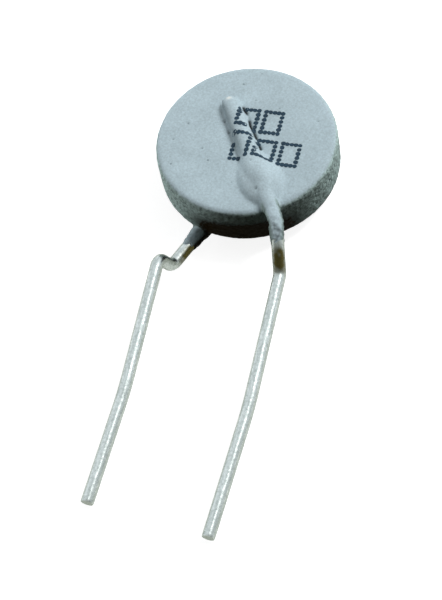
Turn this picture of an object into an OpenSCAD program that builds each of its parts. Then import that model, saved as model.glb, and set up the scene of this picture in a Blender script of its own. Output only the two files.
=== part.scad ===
// Leaded PTC thermistor: a lacquered ceramic disc with two formed wire leads.
// Millimetres, +Z up. The part lies as it comes to rest: the disc is flat with its front face up,
// carried by the rear wire's ridge and by the tips of both leads, which point along -Y.
// The origin is on the resting plane, under the middle of the bounding box.

/* [Disc] */
// Diameter over the lacquer
disc_d = 8.5; // [7:0.1:11]
// Thickness over the lacquer, away from the wires
disc_t = 2.2; // [1.9:0.05:3.5]
// Rounding of the lacquer at the edge of the disc
edge_r = 0.3; // [0.2:0.02:0.5]
// Lacquer thickness on the flat faces
coat_t = 0.25; // [0.2:0.01:0.35]
// Lacquer thickness around the rim
rim_t = 0.28; // [0.2:0.01:0.4]
// Thickness of each metallised electrode
electrode_t = 0.05; // [0.03:0.01:0.08]
// Bare ceramic border around each electrode
electrode_margin = 0.35; // [0.2:0.05:0.8]
// Chamfer on the ceramic's edges
ceramic_chamfer = 0.12; // [0.05:0.01:0.2]

/* [Wire] */
// Diameter of the tinned wire
wire_d = 0.6; // [0.5:0.05:0.7]
// Solder-filled gap between a wire and its electrode
joint_gap = 0.03; // [0.02:0.01:0.05]
// Lacquer thickness over a wire
film_t = 0.16; // [0.12:0.01:0.2]
// Inside radius of a tight bend
tight_bend = 0.22; // [0.15:0.01:0.3]
// Inside radius of a soft bend
soft_bend = 0.9; // [0.6:0.05:1.1]
// Radius of the slight set half way down each lead
set_bend = 24; // [10:1:30]

/* [Solder joints] */
// Length of a solder joint along its wire
solder_l = 2.7; // [2.2:0.1:3]
// Solder depth around the wire at the middle of a joint
solder_depth = 0.18; // [0.14:0.01:0.3]
// Distance from the wire's end to the middle of its joint
solder_at = 4.42; // [4.2:0.02:4.5]
// Radius of the lacquer that pools around a joint
pool_r = 1.15; // [0.9:0.05:1.3]
// Height of that pool above the face
pool_h = 0.3; // [0.2:0.02:0.4]

/* [Lead form] */
// Distance between the two leads below their kinks
lead_pitch = 5.69; // [5:0.01:6.2]
// Sideways offset of the pair of leads from the disc's middle
lead_shift = 0.13; // [-0.3:0.01:0.3]
// Front wire's angle across the disc
front_angle = 30.7; // [26:0.1:34]
// Front wire's end, to the left of the disc's middle
front_end_x = 1.25; // [1:0.05:1.5]
// Front wire's end, beyond the disc's middle
front_end_y = 1.89; // [1.6:0.01:2.1]
// Length of the front wire from its end to where it turns down past the rim
front_run = 7.3; // [7.1:0.01:7.5]
// Distance from the disc's middle to the front lead's kink
front_kink_y = 6.4; // [6.2:0.05:7]
// Distance from the disc's middle to the front lead's tip
front_reach = 19.04; // [17:0.01:24]
// Rear wire's angle across the disc
rear_angle = 22.6; // [18:0.1:26]
// Rear wire's foot, to the left of the disc's middle
rear_foot_x = 2.36; // [2.2:0.01:2.45]
// Distance from the disc's middle to the rear wire's foot
rear_foot_y = 6; // [5.8:0.01:6.4]
// Length of the rear wire from its end to its foot
rear_run = 8.3; // [7.9:0.05:8.5]
// How far the rear lead's kink lies past the foot
rear_kink_step = 0.42; // [0.35:0.01:0.7]
// Distance from the disc's middle to the rear lead's tip
rear_reach = 18.35; // [17:0.01:24]
// Distance from the disc's middle to the slight set in each lead
set_y = 13; // [11:0.1:14.5]
// Sideways angle of that set
set_angle = 3.9; // [1:0.1:5]

/* [Lacquer on the wires] */
// Length of lacquer on the front wire past its turn
front_sleeve_l = 0.65; // [0.55:0.05:0.8]
// Length of lacquer on the rear wire past the rim
rear_sleeve_l = 0.55; // [0.4:0.05:0.7]
// Lacquer thickness on a wire just past the rim
sleeve_t = 0.08; // [0.06:0.01:0.1]
// Lacquer thickness where it runs out on the wire
sleeve_lip = 0.03; // [0.02:0.01:0.04]

/* [Hidden] */
$fn = 64;

// Lap of one wire piece in the next, and the share of its size that a bend keeps
lap = 0.03;
bend_neck = 0.985;
// Bands in the drawn profile of a lacquer or solder mound
mound_bands = 10;
// Straight bands that draw the rounding of the lacquer over a wire's end
cap_bands = 5;
// Share of the lacquer's radius that the rounding takes
cap_share = 0.72;

disc_r = disc_d / 2;
wire_r = wire_d / 2;
film_r = wire_r + film_t;
sleeve_r = wire_r + sleeve_t;
lip_r = wire_r + sleeve_lip;
ceramic_r = disc_r - rim_t;
ceramic_t = disc_t - 2 * (coat_t + electrode_t);
electrode_r = ceramic_r - electrode_margin;
electrode_z = ceramic_t / 2 + electrode_t;
wire_z = electrode_z + joint_gap + wire_r;
solder_r = wire_r + solder_depth;
mound_r = solder_r + film_t;
mound_l = solder_l + film_t;
face_run = solder_at + mound_l / 2 + lap;

// Heights and lengths of the resting part
disc_z = wire_z + mound_r;
tip_z = wire_r - disc_z;
front_fall = atan(-tip_z / (front_reach - front_kink_y));
rear_kink_y = rear_foot_y + rear_kink_step;
disc_y = (front_reach + wire_r * sin(front_fall) - disc_r) / 2;

// Paths of the wires' axes, from the soldered end to the tip, seen from the disc's middle
front_dir = [sin(front_angle), -cos(front_angle), 0];
front_end = [-front_end_x, front_end_y, wire_z];
front_x = lead_shift + lead_pitch / 2;
front_path = concat([front_end, front_end + front_run * front_dir],
                    lead_points(front_x, front_kink_y, front_reach));
front_radii = [soft_bend + wire_r, tight_bend + wire_r, set_bend];

rear_dir = [-sin(rear_angle), -cos(rear_angle), 0];
rear_foot = [-rear_foot_x, -rear_foot_y, -wire_z];
rear_end = rear_foot - rear_run * rear_dir;
rear_x = lead_shift - lead_pitch / 2;
rear_path = concat([rear_end, rear_foot],
                   lead_points(rear_x, rear_kink_y, rear_reach));
rear_radii = [tight_bend + wire_r, tight_bend + wire_r, set_bend];

// Kink, set and tip of a lead that falls evenly from the kink to the resting plane
function lead_points(x, kink_y, reach) =
    let (set_z = tip_z * (set_y - kink_y) / (reach - kink_y))
    [[x, -kink_y, 0],
     [x, -set_y, set_z],
     [x - (reach - set_y) * tan(set_angle), -reach, tip_z]];

function unit(v) = v / norm(v);
function turn(a, b, c) = acos(unit(b - a) * unit(c - b));
function trim(a, b, c, r) = r * tan(turn(a, b, c) / 2);

// Trim of a path at its corner i, none at the two ends
function trim_at(path, radii, i) =
    i == 0 || i == len(path) - 1 ? 0 : trim(path[i - 1], path[i], path[i + 1], radii[i - 1]);

// Profile of a mound of length l along its wire, from radius r1 at the ends to r2 in the middle
function mound_profile(l, r1, r2) =
    [for (i = [0 : mound_bands])
        let (t = i / mound_bands)
        [r1 + (r2 - r1) * (1 - cos(360 * t)) / 2, solder_at + l * (t - 0.5)]];

// Lays a shape built along +Z on the line that starts at p and runs along dir
module along(p, dir) {
    translate(p)
    rotate([0, acos(unit(dir)[2]), atan2(dir[1], dir[0])])
    children();
}

// Round bar between two points
module rod(a, b, r1, r2) {
    along(a, b - a)
    cylinder(h = norm(b - a), r1 = r1, r2 = r2);
}

// Bend of radius r between the lines a-b and b-c, with the tube's radius
module bend(a, b, c, r, tube) {
    u = unit(b - a);
    v = unit(c - b);
    w = unit(v - (u * v) * u);
    n = cross(-w, u);
    mid = b - trim(a, b, c, r) * u + r * w;
    lap_angle = lap / r * 180 / PI;
    multmatrix([[-w[0], u[0], n[0], mid[0]],
                [-w[1], u[1], n[1], mid[1]],
                [-w[2], u[2], n[2], mid[2]],
                [0, 0, 0, 1]])
    rotate([0, 0, -lap_angle])
    rotate_extrude(angle = turn(a, b, c) + 2 * lap_angle)
    translate([r, 0])
    circle(r = tube);
}

// Formed wire: straight pieces joined by bends
module formed_wire(path, radii) {
    last = len(path) - 1;
    for (i = [0 : last - 1]) {
        dir = unit(path[i + 1] - path[i]);
        rod(path[i] + trim_at(path, radii, i) * dir,
            path[i + 1] - trim_at(path, radii, i + 1) * dir, wire_r, wire_r);
    }
    for (i = [1 : last - 1]) {
        bend(path[i - 1], path[i], path[i + 1], radii[i - 1], wire_r * bend_neck);
    }
}

// Solder swelling around a wire, cut off at its electrode
module solder_body(end, dir, side) {
    intersection() {
        along(end, dir)
        rotate_extrude()
        polygon(concat([[0, solder_at - solder_l / 2]],
                       mound_profile(solder_l, wire_r - lap, solder_r),
                       [[0, solder_at + solder_l / 2]]));
        translate([0, 0, side * (electrode_z + disc_t / 2)])
        cube([disc_d, disc_d, disc_t], center = true);
    }
}

// Lacquer over a wire's end, its run on the face and its joint, thinning from length l1 to l2
module ridge(end, dir, l1, l2, r2) {
    round_r = film_r * cap_share;
    cap = [for (i = [0 : cap_bands])
              let (a = 90 * i / cap_bands)
              [film_r - round_r + round_r * sin(a), round_r - film_t - round_r * cos(a)]];
    along(end, dir)
    rotate_extrude()
    polygon(concat([[0, -film_t]], cap, mound_profile(mound_l, film_r, mound_r),
                   [[film_r, l1], [r2, l2], [0, l2]]));
}

// Low pool of lacquer around a joint on the front (1) or the rear (-1), a cap of a large ball
module pool(end, dir, side) {
    ball_r = (pool_r * pool_r + pool_h * pool_h) / (2 * pool_h);
    foot = end + solder_at * dir;
    translate([foot[0], foot[1], side * disc_t / 2])
    rotate([90 - side * 90, 0, 0])
    rotate_extrude()
    intersection() {
        translate([0, pool_h - ball_r])
        circle(r = ball_r);
        translate([0, -lap])
        square([ball_r, pool_h + lap]);
    }
}

// Lacquer disc with rounded edges
module lacquer_disc() {
    rotate_extrude()
    union() {
        translate([0, -disc_t / 2])
        square([disc_r - edge_r, disc_t]);
        translate([0, edge_r - disc_t / 2])
        square([disc_r, disc_t - 2 * edge_r]);
        for (s = [-1, 1]) {
            translate([disc_r - edge_r, s * (disc_t / 2 - edge_r)])
            circle(r = edge_r);
        }
    }
}

// Lacquer over the front wire, its joint and its way over the rim
module front_lacquer() {
    turn_trim = trim_at(front_path, front_radii, 1);
    slope = unit(front_path[2] - front_path[1]);
    ridge(front_end, front_dir, face_run, front_run - turn_trim, sleeve_r);
    bend(front_path[0], front_path[1], front_path[2], front_radii[0], (sleeve_r + lip_r) / 2);
    rod(front_path[1] + turn_trim * slope, front_path[1] + front_sleeve_l * slope, sleeve_r, lip_r);
}

// Lacquer over the rear wire, its joint and its way past the rim
module rear_lacquer() {
    rim_run = rear_run - (norm(rear_foot) - disc_r);
    ridge(rear_end, rear_dir, face_run, rim_run + rear_sleeve_l, lip_r);
}

// One electrode, on the front (1) or the rear (-1)
module electrode(side) {
    translate([0, 0, side * (electrode_z - electrode_t / 2)])
    cylinder(h = electrode_t, r = electrode_r, center = true);
}

// Ceramic pellet with chamfered edges
module ceramic_body() {
    c = ceramic_chamfer;
    rotate_extrude()
    polygon([[0, -ceramic_t / 2], [ceramic_r - c, -ceramic_t / 2], [ceramic_r, c - ceramic_t / 2],
             [ceramic_r, ceramic_t / 2 - c], [ceramic_r - c, ceramic_t / 2], [0, ceramic_t / 2]]);
}

// Puts what is drawn around the disc's middle in the resting place
module at_rest() {
    translate([0, disc_y, disc_z])
    children();
}

// Lacquer shell over the disc, the joints and the start of both leads
module coating() {
    color([0.62, 0.67, 0.69])
    at_rest()
    difference() {
        union() {
            lacquer_disc();
            front_lacquer();
            rear_lacquer();
            pool(front_end, front_dir, 1);
            pool(rear_end, rear_dir, -1);
        }
        ceramic_body();
        electrode(1);
        electrode(-1);
        solder_body(front_end, front_dir, 1);
        solder_body(rear_end, rear_dir, -1);
        formed_wire([for (i = [0 : 2]) front_path[i]], front_radii);
        rod(rear_end, rear_foot, wire_r, wire_r);
    }
}

module ceramic_disc() {
    color([0.27, 0.23, 0.21])
    at_rest()
    ceramic_body();
}

module front_electrode() {
    color([0.8, 0.8, 0.78])
    at_rest()
    electrode(1);
}

module rear_electrode() {
    color([0.8, 0.8, 0.78])
    at_rest()
    electrode(-1);
}

module front_solder() {
    color([0.66, 0.67, 0.69])
    at_rest()
    difference() {
        solder_body(front_end, front_dir, 1);
        rod(front_end, front_path[1], wire_r, wire_r);
    }
}

module rear_solder() {
    color([0.66, 0.67, 0.69])
    at_rest()
    difference() {
        solder_body(rear_end, rear_dir, -1);
        rod(rear_end, rear_foot, wire_r, wire_r);
    }
}

module front_lead() {
    color([0.8, 0.8, 0.77])
    at_rest()
    formed_wire(front_path, front_radii);
}

module rear_lead() {
    color([0.8, 0.8, 0.77])
    at_rest()
    formed_wire(rear_path, rear_radii);
}

coating();
ceramic_disc();
front_electrode();
rear_electrode();
front_solder();
rear_solder();
front_lead();
rear_lead();
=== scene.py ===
"""Dresses a leaded PTC thermistor: lacquered disc, tinned leads, ink dots and a pale studio."""

import logging
import math
from dataclasses import dataclass, field
from enum import Enum
from typing import Any, Optional, Sequence

import bpy
import numpy as np
from mathutils import Matrix, Vector, noise
from mathutils.bvhtree import BVHTree


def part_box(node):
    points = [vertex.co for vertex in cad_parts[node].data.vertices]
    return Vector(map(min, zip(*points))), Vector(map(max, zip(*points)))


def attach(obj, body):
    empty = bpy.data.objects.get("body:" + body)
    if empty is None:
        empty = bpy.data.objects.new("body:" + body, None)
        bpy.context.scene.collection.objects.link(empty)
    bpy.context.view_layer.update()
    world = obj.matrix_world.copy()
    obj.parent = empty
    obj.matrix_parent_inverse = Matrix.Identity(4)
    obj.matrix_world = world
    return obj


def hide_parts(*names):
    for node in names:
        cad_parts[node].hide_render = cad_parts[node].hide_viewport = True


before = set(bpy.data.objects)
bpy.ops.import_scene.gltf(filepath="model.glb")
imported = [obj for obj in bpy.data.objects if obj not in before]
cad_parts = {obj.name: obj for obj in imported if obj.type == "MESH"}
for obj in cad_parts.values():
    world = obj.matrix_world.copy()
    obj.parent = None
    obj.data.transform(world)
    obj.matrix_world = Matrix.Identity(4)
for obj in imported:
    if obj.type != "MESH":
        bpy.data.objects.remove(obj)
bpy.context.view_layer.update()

LOG = logging.getLogger("thermistor")
MM = 0.001
TINY = 1e-6
Faces = list[tuple[int, ...]]
Point = tuple[float, float, float]
Pairs = tuple[tuple[float, float], ...]
Tones = tuple[tuple[float, str], ...]
Ease = tuple[float, float]
Span = tuple[float, float, float, float]
Socket = bpy.types.NodeSocket
SPAN_INPUTS = ("From Min", "From Max", "To Min", "To Max")
WHITE = "FFFFFF"
# Finer layers that a soft and a fine pattern have
SOFT_LAYERS = 3.0
FINE_LAYERS = 4.0


class Slot(Enum):
    """Material slots that the record lists."""

    LACQUER = "grey_lacquer"
    CERAMIC = "ptc_ceramic"
    ELECTRODE = "electrode_metal"
    SOLDER = "solder"
    WIRE = "tinned_wire"
    INK = "marking_ink"


class Node(Enum):
    """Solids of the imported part."""

    COATING = "coating"
    CERAMIC = "ceramic_disc"
    FRONT_ELECTRODE = "front_electrode"
    REAR_ELECTRODE = "rear_electrode"
    FRONT_SOLDER = "front_solder"
    REAR_SOLDER = "rear_solder"
    FRONT_LEAD = "front_lead"
    REAR_LEAD = "rear_lead"


def linear(hex_colour: str) -> tuple[float, float, float, float]:
    """Turns an sRGB hex colour to linear RGBA.

    Args:
        hex_colour: Six hex digits, such as "A0B0B8".

    Returns:
        Linear red, green, blue and an alpha of 1.
    """
    parts = [int(hex_colour[i : i + 2], 16) / 255 for i in (0, 2, 4)]
    flat = [c / 12.92 if c <= 0.04045 else ((c + 0.055) / 1.055) ** 2.4 for c in parts]
    return (flat[0], flat[1], flat[2], 1.0)


@dataclass(frozen=True)
class Graph:
    """A node tree, with short ways to add the shader nodes that the finishes share.

    A feed is a plain value, or a socket to link from.
    """

    tree: bpy.types.NodeTree

    def feed(self, node: bpy.types.Node, inputs: dict[Any, Any]) -> None:
        """Sets or links a node's inputs.

        Args:
            node: Node to feed.
            inputs: A feed for each input by name or index.
        """
        for name, value in inputs.items():
            if isinstance(value, Socket):
                self.tree.links.new(value, node.inputs[name])
            else:
                node.inputs[name].default_value = value

    def add(self, kind: str, inputs: Optional[dict[Any, Any]] = None, **settings: Any) -> bpy.types.Node:
        """Adds a node with its settings and feeds it.

        Args:
            kind: Node type after "ShaderNode", such as "TexNoise".
            inputs: A feed for each input by name or index.
            **settings: Properties of the node itself.

        Returns:
            The new node.
        """
        node = self.tree.nodes.new("ShaderNode" + kind)
        for name, value in settings.items():
            setattr(node, name, value)
        self.feed(node, inputs or {})
        return node

    def millimetres(self) -> Socket:
        """Gives the place on the object.

        Returns:
            The place in mm.
        """
        place = self.add("TexCoord").outputs["Object"]
        return self.add("VectorMath", {0: place, "Scale": 1 / MM}, operation="SCALE").outputs[0]

    def mask(self, name: str) -> Socket:
        """Reads a mask that the mesh carries.

        Args:
            name: Name of the mask.

        Returns:
            The mask's value.
        """
        return self.add("Attribute", attribute_name=name).outputs["Fac"]

    def pattern(self, place: Socket, width: float, detail: float, rough: float = 0.5) -> Socket:
        """Adds a cloudy pattern.

        Args:
            place: Place in mm.
            width: Width of a patch in mm.
            detail: Number of finer layers.
            rough: Share of its strength that each finer layer keeps.

        Returns:
            The pattern's value, from 0 to 1.
        """
        inputs = {"Vector": place, "Scale": 1 / width, "Detail": detail, "Roughness": rough}
        return self.add("TexNoise", inputs).outputs["Fac"]

    def work(self, operation: str, *feeds: Any, clamp: bool = False) -> Socket:
        """Works out a number.

        Args:
            operation: What is done, such as "MULTIPLY".
            *feeds: Feeds in the node's order.
            clamp: Whether the number is kept from 0 to 1.

        Returns:
            The number.
        """
        return self.add("Math", dict(enumerate(feeds)), operation=operation, use_clamp=clamp).outputs[0]

    def span(self, value: Socket, ends: Sequence[Any], ease: str = "LINEAR") -> Socket:
        """Maps a value from one range to another.

        Args:
            value: The value.
            ends: Feeds for both ends of the first range, then for both ends of the second.
            ease: Way between the ends, such as "SMOOTHSTEP".

        Returns:
            The mapped value.
        """
        inputs = {"Value": value, **dict(zip(SPAN_INPUTS, ends))}
        return self.add("MapRange", inputs, interpolation_type=ease).outputs[0]

    def mix(self, share: Socket, ground: Any, cover: Any) -> Socket:
        """Lays one colour over another.

        Args:
            share: Share that the upper colour has.
            ground: Feed for the lower colour.
            cover: Feed for the upper colour.

        Returns:
            The mixed colour.
        """
        # The node keeps its two colours in inputs 6 and 7, and the mixed one in output 2
        return self.add("Mix", {0: share, 6: ground, 7: cover}, data_type="RGBA").outputs[2]

    def ramp(self, value: Socket, stops: Tones) -> Socket:
        """Runs through a row of colours.

        Args:
            value: Place along the row, from 0 to 1.
            stops: Positions and sRGB hex colours in rising order.

        Returns:
            The colour at that place.
        """
        node = self.add("ValToRGB", {"Fac": value})
        elements = node.color_ramp.elements
        while len(elements) < len(stops):
            elements.new(1.0)
        for element, (position, colour) in zip(elements, stops):
            element.position = position
            element.color = linear(colour)
        return node.outputs["Color"]

    def bump(self, height: Socket, strength: Any, depth: float) -> Socket:
        """Adds fine relief.

        Args:
            height: Height of the relief, as a share of the depth.
            strength: Feed for its strength.
            depth: Depth in mm.

        Returns:
            The changed normal.
        """
        return self.add("Bump", {"Height": height, "Strength": strength, "Distance": depth * MM}).outputs[0]


def new_finish(name: str) -> tuple[bpy.types.Material, Graph, bpy.types.Node]:
    """Starts a finish.

    Args:
        name: Name of the material.

    Returns:
        The material, its graph and its shader.
    """
    made = bpy.data.materials.new(name)
    made.use_nodes = True
    return made, Graph(made.node_tree), made.node_tree.nodes["Principled BSDF"]


def smoothstep(low: float, high: float, value: np.ndarray) -> np.ndarray:
    """Eases from 0 at low to 1 at high.

    Args:
        low: Value that gives 0.
        high: Value that gives 1.
        value: Values to ease.

    Returns:
        Eased values.
    """
    t = np.clip((value - low) / (high - low), 0.0, 1.0)
    return t * t * (3.0 - 2.0 * t)


def bell(value: np.ndarray, width: float, power: int = 2) -> np.ndarray:
    """Falls from 1 where the value is 0 to nothing beyond the width.

    Args:
        value: Distances from the middle of the bell.
        width: Distance at which little more than a third is left.
        power: 2 for a round bell, 4 for one with a flat top.

    Returns:
        Shares from 0 to 1.
    """
    return np.exp(-((value / width) ** power))


def grain(points: np.ndarray, size: float, shift: float = 0.0) -> np.ndarray:
    """Samples a smooth random field.

    Args:
        points: Points in mm, one row each.
        size: Width of a bump in mm.
        shift: Offset that picks another field.

    Returns:
        One value per point, about -1 to 1.
    """
    scaled = points / size + shift
    return np.array([noise.noise(Vector(p)) for p in scaled])


def make_object(
    name: str,
    points: np.ndarray,
    faces: Faces,
    attributes: Optional[dict[str, np.ndarray]] = None,
) -> bpy.types.Object:
    """Makes a smooth shaded mesh object.

    Args:
        name: Name of the object.
        points: Vertices in mm, one row each.
        faces: Vertex indices of each face.
        attributes: Values per vertex, plain numbers or rows of three.

    Returns:
        The object, linked to the scene.
    """
    mesh = bpy.data.meshes.new(name)
    mesh.from_pydata((points * MM).tolist(), [], faces)
    for label, values in (attributes or {}).items():
        kind, key = ("FLOAT", "value") if values.ndim == 1 else ("FLOAT_VECTOR", "vector")
        layer = mesh.attributes.new(label, kind, "POINT")
        layer.data.foreach_set(key, np.ascontiguousarray(values, dtype=np.float32).ravel())
    mesh.polygons.foreach_set("use_smooth", [True] * len(mesh.polygons))
    mesh.update()
    made = bpy.data.objects.new(name, mesh)
    bpy.context.scene.collection.objects.link(made)
    return made


@dataclass
class Centreline:
    """Points along a formed wire, with the way it runs and its length so far, in mm."""

    points: np.ndarray
    tangents: np.ndarray
    lengths: np.ndarray

    def frames(self) -> tuple[np.ndarray, np.ndarray]:
        """Carries a pair of cross directions along the wire without twist.

        Returns:
            Side and top directions, one row per point.
        """
        start = np.cross(self.tangents[0], (0.0, 0.0, 1.0))
        side = start / np.linalg.norm(start)
        sides, tops = [], []
        for tangent in self.tangents:
            side = side - tangent * np.dot(side, tangent)
            side = side / np.linalg.norm(side)
            sides.append(side)
            tops.append(np.cross(side, tangent))
        return np.array(sides), np.array(tops)


@dataclass(frozen=True)
class WirePath:
    """Corners of a formed wire in mm and the radius bent at each inner corner."""

    corners: tuple[Point, ...]
    radii: tuple[float, ...]
    least_steps: int = 6

    def first_run(self) -> tuple[np.ndarray, np.ndarray]:
        """Gives the run that is soldered to the disc.

        Returns:
            Start in mm and unit direction.
        """
        start, turn = np.array(self.corners[0]), np.array(self.corners[1])
        return start, (turn - start) / np.linalg.norm(turn - start)

    def lead_in(self, extra: float) -> "WirePath":
        """Lengthens the path at its first corner.

        Args:
            extra: Length to add in mm.

        Returns:
            The longer path.
        """
        start, way = self.first_run()
        return WirePath((tuple(start - way * extra),) + self.corners[1:], self.radii)

    def run(self, step: float) -> Centreline:
        """Samples the path with its bends.

        Args:
            step: Spacing of the points in mm.

        Returns:
            The sampled centreline.
        """
        corners = [np.array(c, dtype=float) for c in self.corners]
        points, tangents = [], []

        def straight(a: np.ndarray, b: np.ndarray) -> None:
            """Adds the points of a straight stretch, without its far end.

            Args:
                a: Start of the stretch in mm.
                b: End of the stretch in mm.
            """
            gap = np.linalg.norm(b - a)
            count = max(int(round(gap / step)), 1)
            for t in np.arange(count) / count:
                points.append(a + (b - a) * t)
                tangents.append((b - a) / gap)

        here = corners[0]
        for before, corner, after, radius in zip(corners, corners[1:], corners[2:], self.radii):
            inward = (corner - before) / np.linalg.norm(corner - before)
            outward = (after - corner) / np.linalg.norm(after - corner)
            turn = math.acos(float(np.clip(np.dot(inward, outward), -1, 1)))
            reach = radius * math.tan(turn / 2)
            entry = corner - inward * reach
            straight(here, entry)
            toward = outward - inward * np.dot(outward, inward)
            toward = toward / np.linalg.norm(toward)
            count = max(int(round(radius * turn / step)), self.least_steps)
            for t in np.arange(count) / count * turn:
                points.append(entry + inward * radius * math.sin(t) + toward * radius * (1 - math.cos(t)))
                tangents.append(inward * math.cos(t) + toward * math.sin(t))
            here = corner + outward * reach
        straight(here, corners[-1])
        points.append(corners[-1])
        tangents.append(tangents[-1])
        line = np.array(points)
        gaps = np.linalg.norm(np.diff(line, axis=0), axis=1)
        return Centreline(line, np.array(tangents), np.concatenate([[0.0], np.cumsum(gaps)]))


def tube_faces(rings: int, sides: int) -> Faces:
    """Lists the faces of a closed tube.

    Args:
        rings: Number of rings of vertices, which the middles of both ends come after.
        sides: Number of vertices in a ring.

    Returns:
        Vertex indices of each face.
    """
    faces: Faces = []
    for i in range(rings - 1):
        for j in range(sides):
            k = (j + 1) % sides
            faces.append((i * sides + j, (i + 1) * sides + j, (i + 1) * sides + k, i * sides + k))
    near, far, last = rings * sides, rings * sides + 1, (rings - 1) * sides
    for j in range(sides):
        k = (j + 1) % sides
        faces.append((near, j, k))
        faces.append((far, last + k, last + j))
    return faces


def sweep(line: Centreline, radii: np.ndarray) -> tuple[np.ndarray, Faces]:
    """Sweeps a closed tube along a centreline.

    Args:
        line: The centreline.
        radii: Radius in mm of each point of each ring, one row per ring.

    Returns:
        Vertices in mm, rings first and the two end middles last, and faces.
    """
    rings, sides = radii.shape
    angles = np.arange(sides) * 2 * math.pi / sides
    side, top = line.frames()
    spokes = np.cos(angles)[None, :, None] * side[:, None, :]
    spokes = spokes + np.sin(angles)[None, :, None] * top[:, None, :]
    body = (line.points[:, None, :] + spokes * radii[:, :, None]).reshape(-1, 3)
    points = np.vstack([body, line.points[0], line.points[-1]])
    return points, tube_faces(rings, sides)


def turned(profile: Sequence[tuple[float, float]], middle: Point, segments: int) -> tuple[np.ndarray, Faces]:
    """Turns a closed body about an upright axis.

    Args:
        profile: Radius and height pairs in mm, from the axis back to the axis.
        middle: Point on the axis that heights count from.
        segments: Number of segments round the axis.

    Returns:
        Vertices in mm and faces.
    """
    inner = profile[1:-1]
    angles = np.arange(segments) * 2 * math.pi / segments
    ring = np.stack([np.cos(angles), np.sin(angles), np.ones(segments)], axis=1)
    rows = [ring * np.array([r, r, h]) for r, h in inner]
    ends = [[0.0, 0.0, profile[0][1]], [0.0, 0.0, profile[-1][1]]]
    points = np.vstack(rows + [np.array(ends)]) + np.array(middle)
    faces = [face[:1] + face[:0:-1] for face in tube_faces(len(inner), segments)]
    return points, faces


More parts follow.
